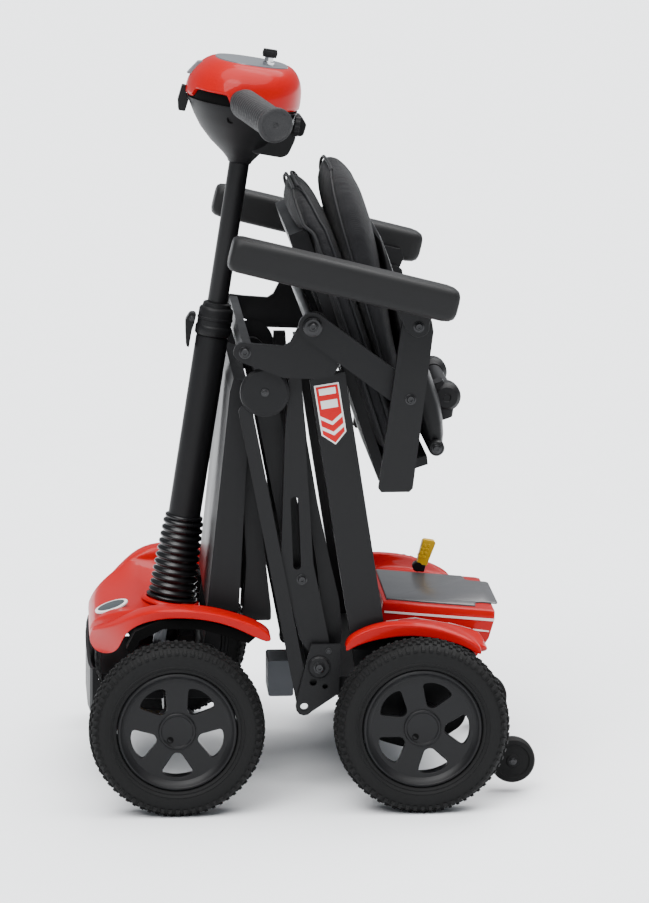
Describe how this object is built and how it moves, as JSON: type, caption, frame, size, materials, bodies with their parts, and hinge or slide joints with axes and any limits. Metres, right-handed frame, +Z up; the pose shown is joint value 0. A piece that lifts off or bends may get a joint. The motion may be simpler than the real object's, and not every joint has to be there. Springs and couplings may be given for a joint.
{
  "type": "mobility scooter",
  "caption": "Folding four-wheel electric mobility scooter, stored folded: red covers, black folding frame, upright tiller with control head, folded seat with flip-up arms, anti-tip wheels.",
  "frame": {"origin": "centre of the overall length and width, on the ground", "axes": "+Z is up, -X is the front of the scooter (the bumper), +Y is the rider's right-hand side"},
  "size_m": [0.52, 0.57, 0.8534],
  "materials": {
    "satin_paint": "satin black powder coat",
    "black_plastic": "matt black moulded plastic",
    "red_plastic": "gloss red moulded plastic",
    "rubber_black": "black rubber",
    "tyre_black": "black tyre rubber",
    "steel": "zinc-plated steel",
    "lid_grey": "dark grey brushed finish",
    "grey_trim": "grey trim",
    "yellow_plastic": "yellow moulded plastic",
    "fabric_black": "black woven upholstery"
  },
  "bodies": {
    "rear_frame": {"chassis_tray": "satin_paint", "transaxle": "satin_paint", "actuator_box": "steel", "main_beam_l": "satin_paint", "main_beam_r": "satin_paint", "front_post_l": "satin_paint", "front_post_r": "satin_paint", "bracket_l": "satin_paint", "bracket_r": "satin_paint", "seat_plate_l": "satin_paint", "seat_plate_r": "satin_paint", "cross_strap": "grey_trim", "seat_pivot_shaft": "steel", "rear_cover": "red_plastic", "antitip_frame": "satin_paint"},
    "rear_leg": {"rear_leg": "satin_paint"},
    "apex": {"apex_shaft": "black_plastic"},
    "link_bars": {"link_bar_l": "satin_paint", "link_bar_r": "satin_paint"},
    "foot_deck": {"foot_deck": "satin_paint"},
    "front_frame": {"front_chassis": "satin_paint", "front_cover": "red_plastic", "front_bumper": "grey_trim"},
    "steering": {"steer_stem": "steel", "boot": "rubber_black"},
    "knuckle_l": {"knuckle_l": "satin_paint"},
    "knuckle_r": {"knuckle_r": "satin_paint"},
    "front_wheel_l": {"front_l_rim": "black_plastic", "front_l_tyre": "tyre_black"},
    "front_wheel_r": {"front_r_rim": "black_plastic", "front_r_tyre": "tyre_black"},
    "rear_wheel_l": {"rear_l_rim": "black_plastic", "rear_l_tyre": "tyre_black"},
    "rear_wheel_r": {"rear_r_rim": "black_plastic", "rear_r_tyre": "tyre_black"},
    "antitip_wheel_l": {"antitip_wheel_l": "rubber_black"},
    "antitip_wheel_r": {"antitip_wheel_r": "rubber_black"},
    "tiller": {"outer_tube": "satin_paint", "clamp_collar": "black_plastic"},
    "clamp_lever": {"clamp_lever": "black_plastic"},
    "head": {"inner_tube": "satin_paint", "head_bowl": "black_plastic", "head_shell": "red_plastic", "display_panel": "grey_trim", "grip_l": "rubber_black", "grip_r": "rubber_black"},
    "ignition_key": {"ignition_key": "steel"},
    "throttle_lever": {"throttle_lever": "black_plastic"},
    "seat": {"seat_pan": "black_plastic", "seat_bar_l": "satin_paint", "seat_bar_r": "satin_paint", "seat_cushion": "fabric_black"},
    "backrest": {"back_shell": "black_plastic", "back_cushion": "fabric_black"},
    "arm_l": {"arm_post_l": "satin_paint"},
    "arm_r": {"arm_post_r": "satin_paint"},
    "pad_l": {"arm_pad_l": "rubber_black"},
    "pad_r": {"arm_pad_r": "rubber_black"},
    "battery": {"battery_pack": "lid_grey"},
    "freewheel_lever": {"freewheel_lever": "yellow_plastic"}
  },
  "joints": [
    {"name": "main_fold", "type": "hinge", "parent": "rear_frame", "child": "rear_leg", "pos_m": [0.007, 0, 0.1575], "axis": [0, -1, 0], "range_deg": [0, 79]},
    {"name": "deck_fold", "type": "hinge", "parent": "rear_leg", "child": "foot_deck", "pos_m": [-0.0545, 0, 0.477], "axis": [0, -1, 0], "range_deg": [-158, 0]},
    {"name": "front_fold", "type": "hinge", "parent": "foot_deck", "child": "front_frame", "pos_m": [-0.116, 0, 0.1575], "axis": [0, -1, 0], "range_deg": [0, 79]},
    {"name": "link_fold", "type": "hinge", "parent": "rear_frame", "child": "link_bars", "pos_m": [-0.01, 0, 0.1105], "axis": [0, -1, 0], "range_deg": [0, 79]},
    {"name": "apex_level", "type": "hinge", "parent": "rear_leg", "child": "apex", "pos_m": [-0.0545, 0, 0.477], "axis": [0, -1, 0], "range_deg": [-79, 0]},
    {"name": "seat_fold", "type": "hinge", "parent": "rear_frame", "child": "seat", "pos_m": [-0.0012, 0, 0.5548], "axis": [0, -1, 0], "range_deg": [0, 72.1]},
    {"name": "arm_fold_l", "type": "hinge", "parent": "seat", "child": "arm_l", "pos_m": [0.1092, -0.22, 0.4725], "axis": [0, -1, 0], "range_deg": [-58.1, 0]},
    {"name": "pad_flip_l", "type": "hinge", "parent": "arm_l", "child": "pad_l", "pos_m": [0.1176, -0.23, 0.5567], "axis": [0, 1, 0], "range_deg": [0, 90]},
    {"name": "arm_fold_r", "type": "hinge", "parent": "seat", "child": "arm_r", "pos_m": [0.1092, 0.22, 0.4725], "axis": [0, -1, 0], "range_deg": [-58.1, 0]},
    {"name": "pad_flip_r", "type": "hinge", "parent": "arm_r", "child": "pad_r", "pos_m": [0.1176, 0.23, 0.5567], "axis": [0, 1, 0], "range_deg": [0, 90]},
    {"name": "backrest_fold", "type": "hinge", "parent": "seat", "child": "backrest", "pos_m": [0.1432, 0, 0.4074], "axis": [0, 1, 0], "range_deg": [0, 100]},
    {"name": "steer", "type": "hinge", "parent": "front_frame", "child": "steering", "pos_m": [-0.1573, 0, 0.2], "axis": [0.157, 0, 0.9876], "range_deg": [-25, 25]},
    {"name": "steer_knuckle_l", "type": "hinge", "parent": "front_frame", "child": "knuckle_l", "pos_m": [-0.158, -0.196, 0.1], "axis": [0, 0, 1], "range_deg": [-25, 25]},
    {"name": "front_roll_l", "type": "hinge", "parent": "knuckle_l", "child": "front_wheel_l", "pos_m": [-0.158, -0.2475, 0.1], "axis": [0, 1, 0], "continuous": true},
    {"name": "steer_knuckle_r", "type": "hinge", "parent": "front_frame", "child": "knuckle_r", "pos_m": [-0.158, 0.196, 0.1], "axis": [0, 0, 1], "range_deg": [-25, 25]},
    {"name": "front_roll_r", "type": "hinge", "parent": "knuckle_r", "child": "front_wheel_r", "pos_m": [-0.158, 0.2475, 0.1], "axis": [0, 1, 0], "continuous": true},
    {"name": "tiller_tilt", "type": "hinge", "parent": "steering", "child": "tiller", "pos_m": [-0.1573, 0, 0.2], "axis": [0, -1, 0], "range_deg": [0, 30], "deforming": ["boot"]},
    {"name": "tiller_height", "type": "slide", "parent": "tiller", "child": "head", "axis": [0.157, 0, 0.9876], "range_m": [0, 0.06]},
    {"name": "clamp_release", "type": "hinge", "parent": "tiller", "child": "clamp_lever", "pos_m": [-0.13253, 0, 0.53725], "axis": [0, 1, 0], "range_deg": [0, 80]},
    {"name": "key_turn", "type": "hinge", "parent": "head", "child": "ignition_key", "pos_m": [-0.04213, -0.03, 0.83531], "axis": [0.157, 0, 0.9876], "range_deg": [0, 60]},
    {"name": "throttle", "type": "hinge", "parent": "head", "child": "throttle_lever", "pos_m": [-0.00208, 0.067, 0.75604], "axis": [0, 1, 0], "range_deg": [-10, 10], "stiffness_Nm_per_rad": 0.4},
    {"name": "rear_roll_l", "type": "hinge", "parent": "rear_frame", "child": "rear_wheel_l", "pos_m": [0.121, -0.2475, 0.1], "axis": [0, 1, 0], "continuous": true},
    {"name": "antitip_roll_l", "type": "hinge", "parent": "rear_frame", "child": "antitip_wheel_l", "pos_m": [0.2335, -0.155, 0.038], "axis": [0, 1, 0], "continuous": true},
    {"name": "rear_roll_r", "type": "hinge", "parent": "rear_frame", "child": "rear_wheel_r", "pos_m": [0.121, 0.2475, 0.1], "axis": [0, 1, 0], "continuous": true},
    {"name": "antitip_roll_r", "type": "hinge", "parent": "rear_frame", "child": "antitip_wheel_r", "pos_m": [0.2335, 0.155, 0.038], "axis": [0, 1, 0], "continuous": true},
    {"name": "battery_lift", "type": "slide", "parent": "rear_frame", "child": "battery", "axis": [0, 0, 1], "range_m": [0, 0.05]},
    {"name": "freewheel", "type": "hinge", "parent": "rear_frame", "child": "freewheel_lever", "pos_m": [0.144, 0.1055, 0.214], "axis": [0, -1, 0], "range_deg": [0, 60]}
  ],
  "couplings": [
    {"joint": "deck_fold", "follows": "main_fold", "ratio": -2},
    {"joint": "front_fold", "follows": "main_fold", "ratio": 1},
    {"joint": "link_fold", "follows": "main_fold", "ratio": 1},
    {"joint": "apex_level", "follows": "main_fold", "ratio": -1},
    {"joint": "seat_fold", "follows": "main_fold", "ratio": 0.9114},
    {"joint": "arm_fold_l", "follows": "main_fold", "ratio": -0.7342},
    {"joint": "arm_fold_r", "follows": "main_fold", "ratio": -0.7342},
    {"joint": "steer_knuckle_l", "follows": "steer", "ratio": 1},
    {"joint": "steer_knuckle_r", "follows": "steer", "ratio": 1}
  ]
}
